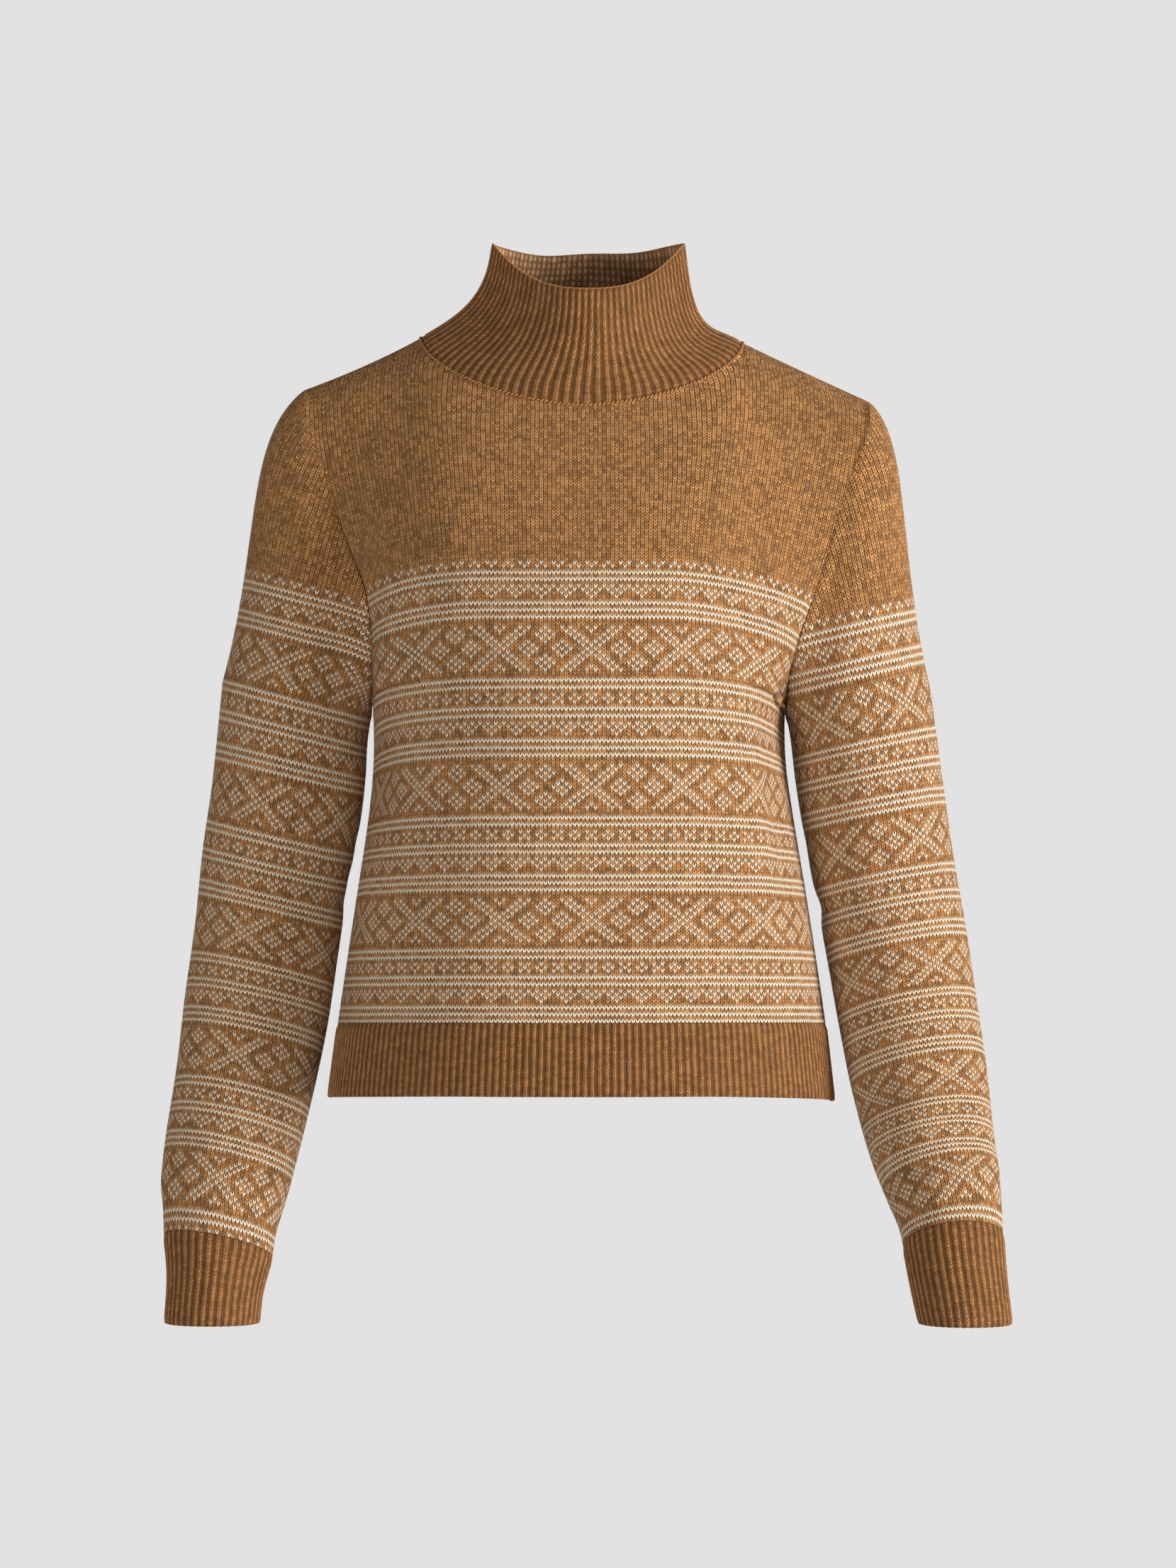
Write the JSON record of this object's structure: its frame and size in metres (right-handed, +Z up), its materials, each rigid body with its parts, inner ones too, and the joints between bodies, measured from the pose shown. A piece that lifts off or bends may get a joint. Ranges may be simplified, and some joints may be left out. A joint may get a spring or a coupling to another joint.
{
  "type": "fair isle jumper",
  "caption": "Hollow knitted jumper with a ribbed funnel collar, set-in sleeves, ribbed cuffs and hem, and fair isle bands below a plain yoke, in its worn form.",
  "frame": {"origin": "middle of the line between the two points where the shoulder seams meet the collar, where the wearer's shoulders carry the jumper", "axes": "+Z up, the front faces -Y, +X towards the right of the picture"},
  "size_m": [0.5556, 0.2528, 0.7108],
  "materials": {
    "fair_isle_knit": "soft brushed stocking stitch in camel with cream fair isle bands",
    "camel_rib": "soft brushed one by one rib in camel"
  },
  "bodies": {
    "root": {"front": "fair_isle_knit", "back": "fair_isle_knit", "hem_front": "camel_rib", "hem_back": "camel_rib", "sleeve_left": "fair_isle_knit", "sleeve_right": "fair_isle_knit", "cuff_left": "camel_rib", "cuff_right": "camel_rib", "collar": "camel_rib"}
  },
  "joints": []
}
